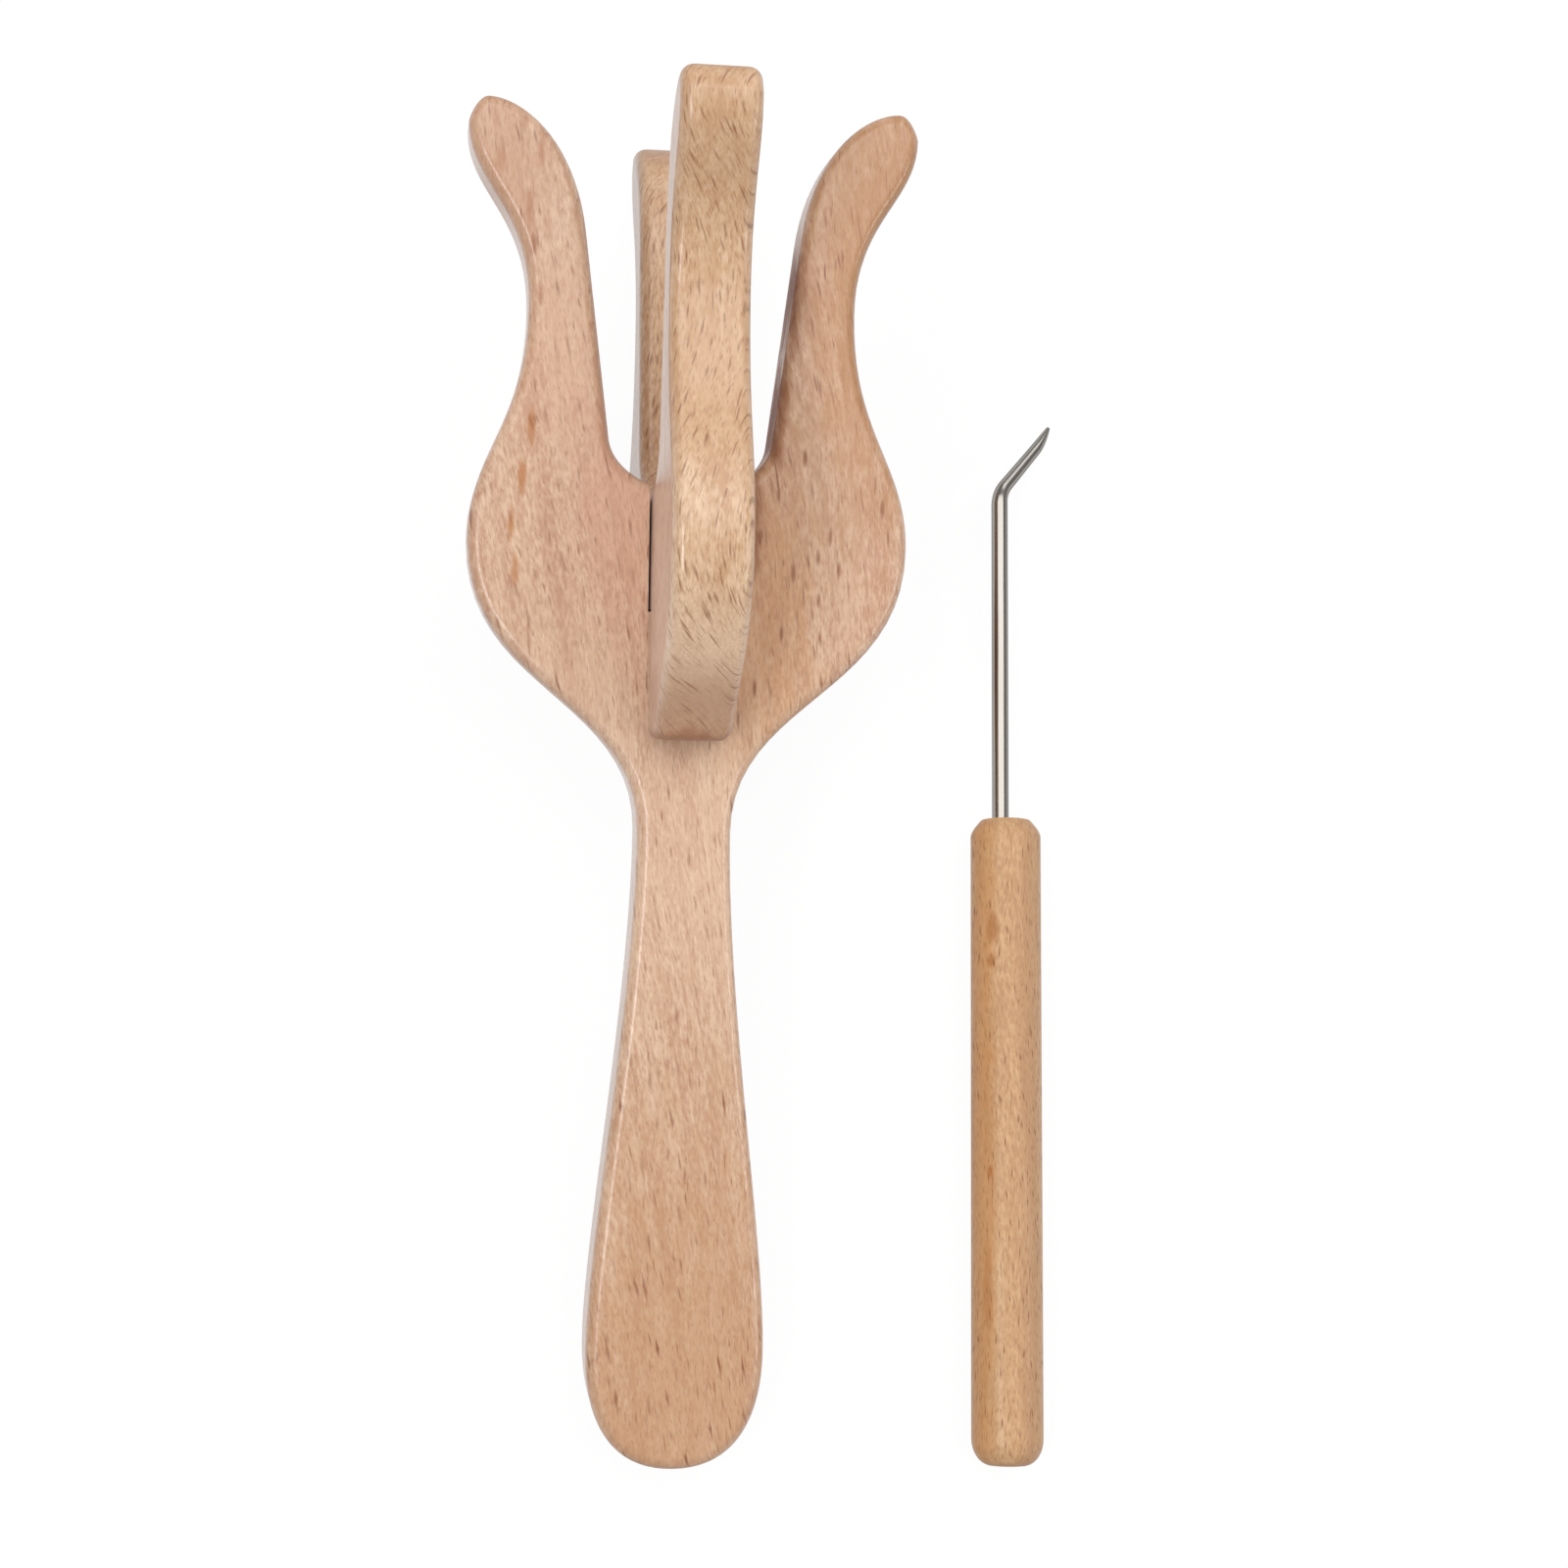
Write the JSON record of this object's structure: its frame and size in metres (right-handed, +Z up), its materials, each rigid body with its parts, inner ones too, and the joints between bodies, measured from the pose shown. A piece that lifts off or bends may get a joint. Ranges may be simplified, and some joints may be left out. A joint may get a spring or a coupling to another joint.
{
  "type": "knitting fork",
  "caption": "Wooden hand fork whose prongs stand to both sides, front and back round a throat where a knitted cord grows, with a bent steel lifting hook in a dowel handle.",
  "frame": {"origin": "on the surface that both tools lie on, under the middle of the space that they take up", "axes": "+Y along the fork from its handle to its prongs, +Z up from the surface, +X to the side that the hook lies on"},
  "size_m": [0.0964, 0.204, 0.0765],
  "materials": {
    "fork_beech": "satin lacquer over sanded beech",
    "cross_beech": "satin lacquer over sanded beech",
    "dowel_beech": "satin lacquer over turned beech",
    "needle_steel": "drawn bright steel wire, ground at the point"
  },
  "bodies": {
    "fork": {"fork_plate": "fork_beech", "cross_plate": "cross_beech"},
    "hook": {"hook_handle": "dowel_beech", "hook_needle": "needle_steel"}
  },
  "joints": [
    {"name": "hook_lift", "type": "slide", "parent": "fork", "child": "hook", "axis": [0, 0, 1], "range_m": [0, 0.15]}
  ]
}
